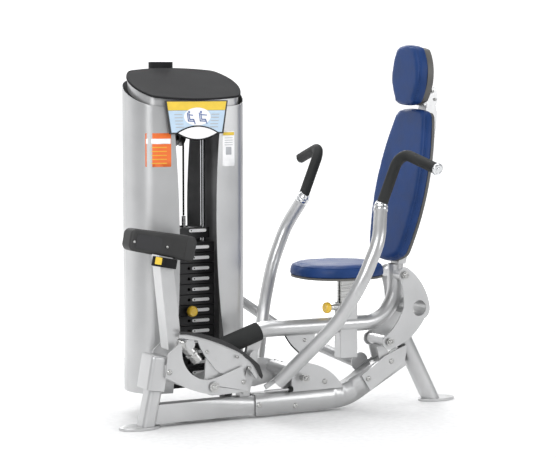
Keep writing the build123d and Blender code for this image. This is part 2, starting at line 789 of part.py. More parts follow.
def seat_sleeve():
    low, high = SLEEVE_Z
    body = Box(SLEEVE_SIZE[0], SLEEVE_SIZE[1], high - low)
    body = body - Box(SLEEVE_SIZE[0] - 2 * WALL, SLEEVE_SIZE[1] - 2 * WALL, 400)
    body = Pos(POST_X, 0, (low + high) / 2) * body
    boss_x = POST_X - SLEEVE_SIZE[0] / 2 - 9
    boss = Pos(boss_x, 0, PIN_Z - 6) * Rot(0, 90, 0) * Cylinder(13, 18)
    body = body + boss
    return body - Pos(boss_x, 0, PIN_Z - 6) * Rot(0, 90, 0) * Cylinder(6.1, 60)


def seat_pin():
    """Spring pin with a round knob that locks the seat's height."""
    z = PIN_Z - 6
    tip = POST_X - POST_SIZE[0] / 2 + 6
    knob_x = 147
    shaft = Pos((tip + knob_x) / 2, 0, z) * Rot(0, 90, 0) * Cylinder(6, tip - knob_x)
    knob = Pos(knob_x, 0, z) * Rot(0, 90, 0) * Cylinder(22, 24)
    knob = fillet(knob.edges(), 5)
    neck = Pos(knob_x + 19, 0, z) * Rot(0, 90, 0) * Cylinder(9, 18)
    return knob + neck + shaft


def seat_post():
    """Sliding post with the keyway and the row of holes that the pin drops into."""
    low, high = 262, SEAT_LOW - 12
    width, depth = POST_SIZE
    body = Pos(POST_X, 0, (low + high) / 2) * Box(width, depth, high - low)
    face_x = POST_X - width / 2
    body -= Pos(face_x + 4, 0, (low + high) / 2 - 5) * Box(9, 13.4, high - low - 20)
    for index in range(6):
        z = PIN_Z - 6 + 28 * (index - 3)
        body -= Pos(face_x + 12, 0, z) * Rot(0, 90, 0) * Cylinder(5, 10)
    top = Pos(SEAT_X + 14, 0, SEAT_LOW - 11.3) * Box(210, 150, 5)
    return body + top


def seat_outline(shrink):
    length, width = 354 - 2 * shrink, 348 - 2 * shrink
    return Pos(SEAT_X, 0) * RectangleRounded(length, width, 150 - shrink)


def seat_base():
    return Pos(0, 0, SEAT_LOW - 8.5) * extrude(seat_outline(5), 8.2)


def seat_pad():
    body = Pos(0, 0, SEAT_LOW) * extrude(seat_outline(0), SEAT_TOP - SEAT_LOW)
    return fillet(body.edges().group_by(Axis.Z)[-1], 20)


def lean_frame(low, high):
    """A frame whose X runs back from the pad's front face and Z up along it."""
    tilt = degrees(atan2(high[0] - low[0], high[1] - low[1]))
    return Pos((low[0] + high[0]) / 2, 0, (low[1] + high[1]) / 2) * Rot(0, tilt, 0)


def span(low, high):
    return ((high[0] - low[0]) ** 2 + (high[1] - low[1]) ** 2) ** 0.5


def back_outline(shrink):
    half = span(BACK_LOW, BACK_HIGH) / 2 - shrink
    wide, top, low = 162 - shrink, 104 - shrink, 118 - shrink
    return outline(
        ThreePointArc((-low, -half + 34), (-wide, -60), (-top, half - 10)),
        ThreePointArc((-top, half - 10), (0, half), (top, half - 10)),
        ThreePointArc((top, half - 10), (wide, -60), (low, -half + 34)),
        ThreePointArc((low, -half + 34), (0, -half), (-low, -half + 34)),
    )


def panel(frame, shape, x_low, x_high):
    """A panel drawn in Y and Z, between two depths behind the pad's face."""
    return frame * Pos(x_low, 0, 0) * extrude(Plane.YZ * shape, x_high - x_low)


BACK_FRAME = lean_frame(BACK_LOW, BACK_HIGH)
HEAD_FRAME = lean_frame(HEAD_LOW, HEAD_HIGH)


def back_pad():
    return panel(BACK_FRAME, fillet(back_outline(0).vertices(), 40), 0, BACK_THICK)


def back_shell():
    shape = fillet(back_outline(6).vertices(), 40)
    return panel(BACK_FRAME, shape, BACK_THICK + 0.4, BACK_THICK + SHELL_THICK)


def head_outline(shrink):
    half = span(HEAD_LOW, HEAD_HIGH) / 2 - shrink
    return outline(
        ThreePointArc((-66 + shrink, -half + 12), (-103 + shrink, -26), (-70 + shrink, half - 10)),
        ThreePointArc((-70 + shrink, half - 10), (0, half), (70 - shrink, half - 10)),
        ThreePointArc((70 - shrink, half - 10), (103 - shrink, -26), (66 - shrink, -half + 12)),
        ThreePointArc((66 - shrink, -half + 12), (0, -half), (-66 + shrink, -half + 12)),
    )


def head_pad():
    return panel(HEAD_FRAME, fillet(head_outline(0).vertices(), 24), 0, 46)


def head_shell():
    return panel(HEAD_FRAME, fillet(head_outline(8).vertices(), 24), 46.4, 74)


def back_spine():
    """Flat steel spine from the carriage's upright to the head bracket."""
    upright = Pos(478, 0, 592) * Rot(0, 12.5, 0) * Box(34, 60, 100)
    upright -= Pos(UPRIGHT_X, 0, 500) * Cylinder(CARRIAGE_R + 8, 134)
    bar = BACK_FRAME * Pos(BACK_THICK + SHELL_THICK + 9.4, 0, 30) * Box(18, 60, 610)
    web = outline(
        Line((592, 1198), (628, 1198)),
        Line((628, 1198), (634, 1170)),
        ThreePointArc((634, 1170), (622, 1060), (552, 880)),
        Line((552, 880), (532, 900)),
        Line((532, 900), (592, 1198)),
    )
    ribs = pair_xz(web, 22, 29)
    return upright + bar + ribs[0] + ribs[1]


def head_bracket():
    """Upright plate on the spine's top, with a block that carries the head pad."""
    blade = Pos(590, 0, 1268) * Box(8, 50, 128)
    block = Pos(581.2, 0, 1296) * Box(10, 44, 60)
    return blade + block


add("front_foot", foot(-FOOT_X))
add("rear_foot", foot(FOOT_X))
add("front_leg", front_leg())
add("front_saddle", front_saddle())
add("guard_plates", fused(guard_plates()))
add("front_rail", front_rail())
add("rear_rail", rear_rail())
add("rear_leg", rear_leg())
add("rail_end_plates", pair_xz(end_plate_outline(), 36, 42))
add("rear_pivot", rear_pivot())
add("hub_bracket", hub_bracket())
add("front_pivot_bracket", front_pivot_bracket())
add("pivot_shafts", pivot_shafts())
add("tower_brace", tower_brace())
front_shrouds, rear_shrouds = shrouds()
add("front_shrouds", front_shrouds)
add("rear_shrouds", rear_shrouds)
add("tower_frame", tower_frame())
add("tower_base", tower_base())
add("tower_cap", tower_cap())
add("cap_rim", cap_rim())
add("bottle_holder", bottle_holder())
add("placard", placard())
add("guide_rods", guide_rods())
add("stack_bumpers", stack_bumpers())
add("resting_plates", [weight_plate(i) for i in range(PLATES_RESTING)])
add("lifted_plates", [weight_plate(i + PLATES_RESTING) for i in range(PLATES_LIFTED)])
add("head_plate", head_plate())
add("selector_stem", selector_stem())
add("stack_cable", stack_cable())
add("top_pulley", top_pulley())
add("pulley_bracket", pulley_bracket())
add("selector_pin", selector_pin())
add("cam_plates", [cam_plates(), cam_lever_bar()])
add("cam_rim", cam_rim())
add("counterweight_arm", counterweight_post() + lever_foot())
add("counterweight", counterweight())
add("counterweight_cover", counterweight_cover())
add("pin_holder", pin_holder())
add("arm_yoke", arm_yoke())
add("left_arm", arm(-1))
add("right_arm", arm(1))
add("left_grip", grip(-1))
add("right_grip", grip(1))
add("grip_rings", [arm_collar(-1), arm_collar(1), grip_end_cap(-1), grip_end_cap(1)])
add("rear_link", rear_link())
add("front_link", front_link())
add("carriage_tube", carriage_tube())
add("carriage_shaft", bar_y(LINK_TOP, SHAFT_R, -84, 84))
add("foot_tube", foot_tube())
add("seat_sleeve", seat_sleeve())
add("seat_pin", seat_pin())
add("seat_post", seat_post())
add("seat_base", seat_base())
add("seat_pad", seat_pad())
add("back_spine", back_spine())
add("back_shell", back_shell())
add("back_pad", back_pad())
add("head_bracket", head_bracket())
add("head_shell", head_shell())
add("head_pad", head_pad())

os.makedirs("parts", exist_ok=True)
for name, group in nodes.items():
    export_step(group, f"parts/{name}.step")
whole = Compound(list(nodes.values())).bounding_box()
print("nodes", len(nodes), "low corner", whole.min, "high corner", whole.max)
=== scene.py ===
"""Looks of a seated chest press with a shrouded weight stack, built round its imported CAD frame."""

import json
import math

import bmesh
import bpy
from mathutils import Matrix, Vector
from mathutils.bvhtree import BVHTree


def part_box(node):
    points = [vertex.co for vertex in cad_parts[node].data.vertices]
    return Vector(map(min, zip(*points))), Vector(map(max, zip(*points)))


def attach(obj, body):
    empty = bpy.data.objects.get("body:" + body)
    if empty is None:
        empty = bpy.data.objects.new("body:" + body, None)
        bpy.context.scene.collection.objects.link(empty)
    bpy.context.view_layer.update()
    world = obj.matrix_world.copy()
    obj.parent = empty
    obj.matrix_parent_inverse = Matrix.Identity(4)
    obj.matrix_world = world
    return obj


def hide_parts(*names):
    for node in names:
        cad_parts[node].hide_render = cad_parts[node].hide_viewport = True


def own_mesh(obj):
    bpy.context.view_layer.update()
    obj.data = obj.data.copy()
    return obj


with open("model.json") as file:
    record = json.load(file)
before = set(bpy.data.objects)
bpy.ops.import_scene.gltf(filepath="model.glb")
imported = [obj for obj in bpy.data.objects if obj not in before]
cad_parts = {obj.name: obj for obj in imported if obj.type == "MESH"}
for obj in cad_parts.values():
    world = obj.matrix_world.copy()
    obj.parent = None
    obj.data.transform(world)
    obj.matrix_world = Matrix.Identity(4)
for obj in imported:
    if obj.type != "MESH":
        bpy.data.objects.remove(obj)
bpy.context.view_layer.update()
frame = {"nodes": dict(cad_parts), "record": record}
NODES = frame["nodes"]

TOWER = Vector((-0.358, 0.246, 0.0))    # centre of the weight tower
PLATE_FRONT_Y = 0.198                   # front faces of the weight plates
PLATE_PITCH = 0.041
FIRST_PLATE_Z = 0.158                   # middle of the lowest plate
RESTING, LIFTED = 6, 7
HEAD_PLATE_Z = 0.706

PLACARD_X = -0.368                      # middle of the instruction placard
PLACARD_LOW, PLACARD_TOP = 1.100, 1.216
BADGE_X = -0.366                        # middle of the badge and of the placard's oval
NOTICE_Z = 1.034                        # middle of the two blank notices
LEFT_NOTICE_X, RIGHT_NOTICE_X = -0.516, -0.224
SEAT_PIN_Z = 0.407
COVER_TILT = math.radians(11)           # lean of the counterweight cover

PUFF_SHRINK = 0.992                     # pads start this much smaller, then are blown up
PUFF_TRAVEL = 0.0035                    # the furthest a point of a pad may move out
PUFF_PRESSURE = 2.0
PUFF_FRAMES = 20
WELT_RADIUS = 0.0016
WELT_SUNK = 0.0012                      # how much of the piping's depth lies in the pad
WELT_POINTS = 110


# ---------------------------------------------------------------- materials
def start_material(name):
    material = bpy.data.materials.new(name)
    material.use_nodes = True
    tree = material.node_tree
    return material, tree, tree.nodes["Principled BSDF"]


def node(tree, kind, **settings):
    made = tree.nodes.new(kind)
    for key, value in settings.items():
        if key in made.inputs:
            made.inputs[key].default_value = value
        else:
            setattr(made, key, value)
    return made


def noise(tree, scale, detail=3.0, stretch=None):
    """Noise over the piece's own coordinates, stretched along an axis if asked."""
    coords = node(tree, "ShaderNodeTexCoord")
    made = node(tree, "ShaderNodeTexNoise", Scale=scale, Detail=detail)
    if stretch:
        mapping = node(tree, "ShaderNodeMapping", Scale=stretch)
        tree.links.new(coords.outputs["Object"], mapping.inputs["Vector"])
        tree.links.new(mapping.outputs["Vector"], made.inputs["Vector"])
    else:
        tree.links.new(coords.outputs["Object"], made.inputs["Vector"])
    return made.outputs["Fac"]


def ramp(tree, source, low, high, low_at=0.35, high_at=0.65):
    made = node(tree, "ShaderNodeValToRGB")
    made.color_ramp.elements[0].position = low_at
    made.color_ramp.elements[0].color = (*low, 1)
    made.color_ramp.elements[1].position = high_at
    made.color_ramp.elements[1].color = (*high, 1)
    tree.links.new(source, made.inputs["Fac"])
    return made.outputs["Color"]


def spread(tree, source, low, high):
    made = node(tree, "ShaderNodeMapRange")
    made.inputs["From Min"].default_value = 0.3
    made.inputs["From Max"].default_value = 0.7
    made.inputs["To Min"].default_value = low
    made.inputs["To Max"].default_value = high
    tree.links.new(source, made.inputs["Value"])
    return made.outputs["Result"]


def bump(tree, shader, source, strength, distance):
    made = node(tree, "ShaderNodeBump", Strength=strength, Distance=distance)
    tree.links.new(source, made.inputs["Height"])
    tree.links.new(made.outputs["Normal"], shader.inputs["Normal"])
    return made


def finish_material(name, dark, light, rough, metallic=0.0, cloud=9.0, grain=700.0,
                    strength=0.15, depth=0.0002, coat=0.0, specular=0.5, stretch=None):
    """Cloudy colour, uneven roughness and a fine grain in the surface."""
    material, tree, shader = start_material(name)
    clouds = noise(tree, cloud, 5.0, stretch)
    tree.links.new(ramp(tree, clouds, dark, light), shader.inputs["Base Color"])
    tree.links.new(spread(tree, clouds, *rough), shader.inputs["Roughness"])
    bump(tree, shader, noise(tree, grain, 2.0, stretch), strength, depth)
    shader.inputs["Metallic"].default_value = metallic
    shader.inputs["Specular IOR Level"].default_value = specular
    shader.inputs["Coat Weight"].default_value = coat
    shader.inputs["Coat Roughness"].default_value = 0.12
    return material


def vinyl_material(name, dark, light):
    """Coated vinyl: pebbled grain over soft wrinkles, a little worn and dusty."""
    material, tree, shader = start_material(name)
    coords = node(tree, "ShaderNodeTexCoord")
    pebble = node(tree, "ShaderNodeTexVoronoi", Scale=620.0)
    tree.links.new(coords.outputs["Object"], pebble.inputs["Vector"])
    clouds = noise(tree, 14.0, 6.0)
    tree.links.new(ramp(tree, clouds, dark, light), shader.inputs["Base Color"])
    tree.links.new(spread(tree, clouds, 0.42, 0.54), shader.inputs["Roughness"])
    grain = bump(tree, shader, pebble.outputs["Distance"], 0.35, 0.0003)
    soft = node(tree, "ShaderNodeBump", Strength=0.25, Distance=0.002)
    tree.links.new(noise(tree, 34.0, 3.0), soft.inputs["Height"])
    tree.links.new(soft.outputs["Normal"], grain.inputs["Normal"])
    shader.inputs["Specular IOR Level"].default_value = 0.26
    return material


def flat_print(name, colour, rough=0.4):
    """A printed colour on film, with a trace of mottle."""
    low = tuple(c * 0.93 for c in colour)
    return finish_material(name, low, colour, (rough, rough + 0.08), cloud=40, strength=0.04)


MATERIALS = {
    "silver_paint": finish_material(
        "silver_powder_coat", (0.50, 0.503, 0.505), (0.57, 0.572, 0.574), (0.30, 0.38),
        metallic=0.70, cloud=5, grain=1500, strength=0.16, depth=0.00012, coat=0.15),
    "black_paint": finish_material(
        "black_powder_coat", (0.012, 0.012, 0.013), (0.022, 0.022, 0.023), (0.42, 0.55)),
    "cast_plates": finish_material(
        "painted_cast_iron", (0.008, 0.008, 0.009), (0.018, 0.018, 0.019), (0.38, 0.55),
        grain=260, strength=0.3, depth=0.0004),
    "bright_steel": finish_material(
        "zinc_plated_steel", (0.42, 0.42, 0.41), (0.58, 0.58, 0.57), (0.22, 0.36),
        metallic=1.0, grain=500, stretch=(1, 1, 14)),
    "chrome_rod": finish_material(
        "polished_chrome", (0.74, 0.75, 0.76), (0.8, 0.81, 0.82), (0.05, 0.12),
        metallic=1.0, grain=300, strength=0.03),
    "charcoal_plastic": finish_material(
        "charcoal_moulding", (0.009, 0.009, 0.010), (0.014, 0.014, 0.015), (0.60, 0.70),
        grain=900, strength=0.25, specular=0.18),
    "black_polymer": finish_material(
        "black_polymer", (0.014, 0.014, 0.015), (0.024, 0.024, 0.025), (0.35, 0.45)),
    "black_rubber": finish_material(
        "textured_rubber", (0.012, 0.013, 0.013), (0.022, 0.023, 0.023), (0.62, 0.78),
        grain=480, strength=0.5, depth=0.0005, specular=0.3),
    "yellow_knob": finish_material(
        "yellow_moulding", (0.68, 0.43, 0.03), (0.8, 0.52, 0.05), (0.22, 0.32), coat=0.3),
    "placard_sheet": flat_print("placard_backing", (0.03, 0.03, 0.032)),
    "blue_vinyl": vinyl_material("blue_vinyl", (0.005, 0.030, 0.120), (0.008, 0.038, 0.150)),
    "grey_shell": finish_material(
        "grey_moulding", (0.075, 0.073, 0.07), (0.1, 0.097, 0.092), (0.42, 0.55),
        grain=800, strength=0.25),
}
COVER = finish_material("grey_grained_moulding", (0.024, 0.024, 0.024), (0.036, 0.036, 0.036),
                        (0.5, 0.6), grain=900, strength=0.3, specular=0.35)
# Painted shade: dark and grey colours for the shrouds' inner faces, standing in for the shade inside
# the tower.
FRONT_INNER_SHADE = finish_material("painted_shade_front_inner", (0.035, 0.035, 0.036), (0.06, 0.06, 0.062), (0.4, 0.5))
REAR_INNER_SHADE = finish_material("painted_shade_rear_inner", (0.2, 0.2, 0.205), (0.27, 0.27, 0.275), (0.35, 0.45),
                             metallic=0.5)
WHITE = flat_print("white_film", (0.9, 0.9, 0.9))
YELLOW = flat_print("yellow_film", (0.8, 0.56, 0.05))
PALE_BLUE = flat_print("pale_blue_film", (0.5, 0.64, 0.78))
DEEP_BLUE = flat_print("deep_blue_film", (0.05, 0.12, 0.36))
ORANGE = flat_print("orange_film", (0.78, 0.16, 0.03))
PALE_GREY = flat_print("pale_grey_film", (0.42, 0.43, 0.45))
DARK_PRINT = flat_print("dark_print", (0.02, 0.02, 0.022))


# ---------------------------------------------------------------- mesh helpers
def place(piece, body):
    """The piece rides on a body."""
    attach(piece, body)
    return piece


def mesh_piece(name, points, faces, material, smooth=True):
    data = bpy.data.meshes.new(name)
    data.from_pydata([tuple(p) for p in points], [], faces)
    data.update()
    for polygon in data.polygons:
        polygon.use_smooth = smooth
    piece = bpy.data.objects.new(name, data)
    bpy.context.scene.collection.objects.link(piece)
    data.materials.append(material)
    return piece


def turned(name, origin, axis, profile, material, sides=40, hexagon=()):
    """A turned piece: (radius, height) pairs along an axis; rings in hexagon are six-sided."""
    turn = Vector(axis).to_track_quat("Z", "Y").to_matrix()
    origin = Vector(origin)
    points, faces = [], []
    for index, (radius, height) in enumerate(profile):
        for step in range(sides):
            angle = 2 * math.pi * step / sides
            reach = radius
            if index in hexagon:
                reach = radius / math.cos(angle % (math.pi / 3) - math.pi / 6)
            local = Vector((reach * math.cos(angle), reach * math.sin(angle), height))
            points.append(origin + turn @ local)
    for ring in range(len(profile) - 1):
        for step in range(sides):
            a = ring * sides + step
            b = ring * sides + (step + 1) % sides
            faces.append((a, b, b + sides, a + sides))
    faces.append(tuple(range(sides - 1, -1, -1)))
    last = (len(profile) - 1) * sides
    faces.append(tuple(range(last, last + sides)))
    piece = mesh_piece(name, points, faces, material)
    edges = piece.modifiers.new("edges", "BEVEL")
    edges.width = 0.0006
    edges.segments = 2
    edges.limit_method = "ANGLE"
    edges.angle_limit = math.radians(40)
    edges.harden_normals = True
    return piece


def bolt(name, body, origin, axis, head=0.0105, washer=0.0):
    """Button head with a hexagon socket, on a washer if one is given."""
    base = 0.0
    if washer:
        flat = turned(name + "_washer", origin, axis,
                      [(washer, 0.0001), (washer, 0.0018), (head * 0.6, 0.0018)],
                      MATERIALS["bright_steel"])
        place(flat, body)
        base = 0.0018
    profile = [(head, base + 0.0002), (head, base + 0.0018), (head * 0.9, base + 0.0042),
               (head * 0.62, base + 0.0058), (head * 0.42, base + 0.0061),
               (head * 0.4, base + 0.0028)]
    piece = turned(name, origin, axis, profile, MATERIALS["bright_steel"], 36, (4, 5))
    return place(piece, body)


def tube(name, points, radius, material, cyclic=False):
    """A round bar along a smooth line, as a mesh."""
    curve = bpy.data.curves.new(name, "CURVE")
    curve.dimensions = "3D"
    curve.bevel_depth = radius
    curve.bevel_resolution = 5
    curve.resolution_u = 10
    curve.use_fill_caps = True
    spline = curve.splines.new("NURBS")
    spline.points.add(len(points) - 1)
    for point, where in zip(spline.points, points):
        point.co = (*where, 1)
    spline.order_u = 3
    spline.use_endpoint_u = not cyclic
    spline.use_cyclic_u = cyclic
    holder = bpy.data.objects.new(name + "_line", curve)
    bpy.context.scene.collection.objects.link(holder)
    bpy.context.view_layer.update()
    shown = holder.evaluated_get(bpy.context.evaluated_depsgraph_get())
    data = bpy.data.meshes.new_from_object(shown)
    bpy.data.objects.remove(holder)
    data.name = name
    for polygon in data.polygons:
        polygon.use_smooth = True
    data.materials.clear()
    data.materials.append(material)
    piece = bpy.data.objects.new(name, data)
    bpy.context.scene.collection.objects.link(piece)
    return piece


def rounded(width, height, radius, steps=6):
    """Corner points of a rounded rectangle about the origin."""
    points = []
    for corner, (x, y) in enumerate(((1, 1), (-1, 1), (-1, -1), (1, -1))):
        centre_x = x * (width / 2 - radius)
        centre_y = y * (height / 2 - radius)
        for step in range(steps + 1):
            angle = math.pi / 2 * (corner + step / steps)
            points.append((centre_x + radius * math.cos(angle),
                           centre_y + radius * math.sin(angle)))
    return points


def ellipse(half_width, half_height, steps=48):
    return [(half_width * math.cos(2 * math.pi * i / steps),
             half_height * math.sin(2 * math.pi * i / steps)) for i in range(steps)]


def plate_piece(name, shape, centre, material, front, thick, tilt=0.0):
    """A flat shape in X and Z, with its front face at Y = front, turned about Y by tilt."""
    turn = Matrix.Rotation(tilt, 3, "Y")
    count = len(shape)
    points = []
    for depth in (0.0, thick):
        for x, z in shape:
            spun = turn @ Vector((x, 0, z))
            points.append((centre[0] + spun.x, front + depth + spun.y, centre[1] + spun.z))
    faces = [tuple(range(count)), tuple(range(2 * count - 1, count - 1, -1))]
    for index in range(count):
        after = (index + 1) % count
        faces.append((after, index, index + count, after + count))
    return mesh_piece(name, points, faces, material, smooth=False)


def surface_tree(name):
    """Search tree over a CAD node's faces."""
    data = NODES[name].data
    points = [v.co.copy() for v in data.vertices]
    faces = [tuple(p.vertices) for p in data.polygons]
    return BVHTree.FromPolygons(points, faces)


def sticker(name, shape, centre, tree, material, lift):
    """A thin film laid on a curved front: its outline is filled and dropped on along +Y."""
    grid = bmesh.new()
    corners = [grid.verts.new((centre[0] + x, -1.0, centre[1] + z)) for x, z in shape]
    grid.faces.new(corners)
    bmesh.ops.triangulate(grid, faces=grid.faces[:])
    bmesh.ops.subdivide_edges(grid, edges=grid.edges[:], cuts=3, use_grid_fill=True)
    for vertex in grid.verts:
        found = tree.ray_cast(Vector((vertex.co.x, -1.0, vertex.co.z)), Vector((0, 1, 0)))
        vertex.co.y = found[0].y - lift
    data = bpy.data.meshes.new(name)
    bmesh.ops.recalc_face_normals(grid, faces=grid.faces[:])
    grid.to_mesh(data)
    grid.free()
    piece = bpy.data.objects.new(name, data)
    bpy.context.scene.collection.objects.link(piece)
    data.materials.append(material)
    for polygon in data.polygons:
        polygon.use_smooth = True
    film = piece.modifiers.new("film", "SOLIDIFY")
    film.thickness = 0.0003
    film.offset = 0
    return place(piece, "frame")


# ---------------------------------------------------------------- CAD nodes
PLAIN_EDGE = 0.0009     # softened edge of the nodes that aren't named below
SOFT_EDGES = {
    "stack_cable": 0.0, "tower_cap": 0.006, "back_shell": 0.004, "head_shell": 0.008,
    "seat_base": 0.002, "pin_holder": 0.003, "counterweight_arm": 0.002,
    "front_rail": 0.0, "rear_rail": 0.0, "lifted_plates": 0.0015,
    "resting_plates": 0.0015, "head_plate": 0.002, "seat_sleeve": 0.002,
}


def dress_cad():
    """Every CAD node gets its slot's material and softened edges."""
    for entry in frame["record"]["subparts"]:
        shown = NODES[entry["node"]]
        shown.data.materials.clear()
        finish = MATERIALS[entry["material_slot"]]
        if entry["node"] == "counterweight_cover":
            finish = COVER
        shown.data.materials.append(finish)
        width = SOFT_EDGES.get(entry["node"], PLAIN_EDGE)
        weld = shown.modifiers.new("weld", "WELD")
        weld.merge_threshold = 0.00002
        if width:
            edges = shown.modifiers.new("edges", "BEVEL")
            edges.width = width
            edges.segments = 3 if width > 0.003 else 2
            edges.limit_method = "ANGLE"
            edges.angle_limit = math.radians(50)
        normals = shown.modifiers.new("normals", "WEIGHTED_NORMAL")
        normals.keep_sharp = False
        for polygon in shown.data.polygons:
            polygon.use_smooth = True


def shade_shroud_insides():
    """Painted shade: the shrouds' inner faces are coloured dark in front and grey behind."""
    for name, inner_shade in (("front_shrouds", FRONT_INNER_SHADE), ("rear_shrouds", REAR_INNER_SHADE)):
        data = NODES[name].data
        data.materials.append(inner_shade)
        for polygon in data.polygons:
            outward = polygon.center - TOWER
            outward.z = 0
            if polygon.normal.dot(outward.normalized()) < -0.2:
                polygon.material_index = 1


# ---------------------------------------------------------------- cushions
def puffed(name, source, hold):
    """Copy of a CAD cushion, remeshed and blown up by a short cloth run with a capped travel."""
    data = NODES[source].data.copy()
    piece = bpy.data.objects.new(name, data)
    bpy.context.scene.collection.objects.link(piece)
    low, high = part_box(source)
    middle = (low + high) / 2
    data.transform(Matrix.Translation(middle) @ Matrix.Scale(PUFF_SHRINK, 4)
                   @ Matrix.Translation(-middle))
    remesh = piece.modifiers.new("remesh", "REMESH")
    remesh.mode = "VOXEL"
    remesh.voxel_size = 0.005
    bake_modifiers(piece)
    rest = [v.co.copy() for v in piece.data.vertices]
    pinned = piece.vertex_groups.new(name="held")
    pinned.add([v.index for v in piece.data.vertices if hold(v.co)], 1.0, "REPLACE")
    cloth = piece.modifiers.new("cloth", "CLOTH")
    cloth.settings.quality = 4
    cloth.settings.use_pressure = True
    cloth.settings.uniform_pressure_force = PUFF_PRESSURE
    cloth.settings.effector_weights.gravity = 0
    cloth.settings.vertex_group_mass = "held"
    cloth.settings.tension_stiffness = 12
    cloth.settings.compression_stiffness = 12
    cloth.point_cache.frame_start = 1
    cloth.point_cache.frame_end = PUFF_FRAMES
    for step in range(1, PUFF_FRAMES + 1):
        bpy.context.scene.frame_set(step)
    bake_modifiers(piece)
    bpy.context.scene.frame_set(1)
    for vertex, start in zip(piece.data.vertices, rest):
        travel = vertex.co - start
        if travel.length > PUFF_TRAVEL:
            vertex.co = start + travel * (PUFF_TRAVEL / travel.length)
    relax(piece.data, 6)
    return piece


def bake_modifiers(piece):
    """Replace the piece's mesh with what its modifiers make of it."""
    bpy.context.view_layer.update()
    shown = piece.evaluated_get(bpy.context.evaluated_depsgraph_get())
    data = bpy.data.meshes.new_from_object(shown)
    piece.modifiers.clear()
    piece.data = data


def relax(data, rounds):
    """Even a mesh out by drawing each point towards its neighbours."""
    mesh = bmesh.new()
    mesh.from_mesh(data)
    for _ in range(rounds):
        bmesh.ops.smooth_vert(mesh, verts=mesh.verts[:], factor=0.5,
                              use_axis_x=True, use_axis_y=True, use_axis_z=True)
    mesh.to_mesh(data)
    mesh.free()


def subdivide(piece):
    """One round of subdivision, kept in the mesh."""
    finer = piece.modifiers.new("finer", "SUBSURF")
    finer.levels = 1
    bake_modifiers(piece)
    for polygon in piece.data.polygons:
        polygon.use_smooth = True


def groove(piece, turn, seams):
    """Press sewn seams into the pad: each is (place in the thickness, width, depth)."""
    back = turn.inverted()
    for vertex, normal in zip(piece.data.vertices, [v.normal.copy() for v in piece.data.vertices]):
        local = back @ vertex.co
        local_normal = back.to_3x3() @ normal
        side = 1 - min(1.0, abs(local_normal.x) * 1.15)
        push = sum(deep * math.exp(-((local.x - at) / width) ** 2) for at, width, deep in seams)
        vertex.co -= normal * push * max(0.25, side)


def welt(name, piece, turn, at, body):
    """Thin piping that follows the pad's outline at one depth."""
    bpy.context.view_layer.update()
    tree = BVHTree.FromObject(piece, bpy.context.evaluated_depsgraph_get())
    points = []
    for step in range(WELT_POINTS):
        angle = 2 * math.pi * step / WELT_POINTS
        ray = Vector((0, math.cos(angle), math.sin(angle)))
        start = turn @ (Vector((at, 0, 0)) + ray * 1.2)
        inward = (turn.to_3x3() @ -ray).normalized()
        found = tree.ray_cast(start, inward)
        if found[0] is not None:
            points.append(found[0] + inward * (WELT_SUNK - WELT_RADIUS))
    line = tube(name, points, WELT_RADIUS, MATERIALS["blue_vinyl"], cyclic=True)
    return place(line, body)


def cushion(name, source, body, turn, seams, hold):
    """A whole upholstered pad in place of its CAD solid; turn's X runs through its thickness."""
    piece = puffed(name, source, hold)
    subdivide(piece)
    groove(piece, turn, seams)
    relax(piece.data, 1)
    piece.data.materials.clear()
    piece.data.materials.append(MATERIALS["blue_vinyl"])
    place(piece, body)
    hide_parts(source)
    for index, (at, _, _) in enumerate(seams):
        welt(f"{name}_welt_{index}", piece, turn, at, body)


def leaning(low, high):
    """Frame of a leaning pad: X back from its face, Z up along it, in metres."""
    tilt = math.atan2(high[0] - low[0], high[1] - low[1])
    middle = Vector(((low[0] + high[0]) / 2, 0, (low[1] + high[1]) / 2))
    return Matrix.Translation(middle) @ Matrix.Rotation(tilt, 4, "Y")


BACK_TURN = leaning((0.396, 0.583), (0.531, 1.190))
HEAD_TURN = leaning((0.494, 1.196), (0.504, 1.437))
SEAT_TURN = Matrix.Translation((0.190, 0, 0.584)) @ Matrix.Rotation(math.radians(90), 4, "Y")


def cushions():
    back = BACK_TURN.inverted()
    head = HEAD_TURN.inverted()
    seam = [(0.008, 0.0028, 0.0016)]
    cushion("back_cushion", "back_pad", "carriage", BACK_TURN, seam,
            lambda p: (back @ p).x > 0.034)
    cushion("head_cushion", "head_pad", "carriage", HEAD_TURN, seam,
            lambda p: (head @ p).x > 0.041)
    cushion("seat_cushion", "seat_pad", "seat", SEAT_TURN, seam, lambda p: p.z < 0.543)


# ---------------------------------------------------------------- weight tower
def stack_labels():
    """A white weight label on every plate, with a punched dot."""
    for index in range(RESTING + LIFTED + 1):
        top = index == RESTING + LIFTED
        z = HEAD_PLATE_Z + 0.009 if top else FIRST_PLATE_Z + PLATE_PITCH * index
        x = -0.319 if top else -0.308
        front = 0.2008 if top else PLATE_FRONT_Y - 0.0003
        body = "frame" if index < RESTING else "weight_stack"
        label = plate_piece(f"weight_label_{index}", rounded(0.074, 0.0125, 0.006),
                            (x, z), WHITE, front - 0.0006, 0.0006)
        place(label, body)
        dot = plate_piece(f"weight_label_dot_{index}", ellipse(0.0028, 0.0028, 20),
                          (x - 0.027, z), DARK_PRINT, front - 0.0009, 0.0002)
        place(dot, body)


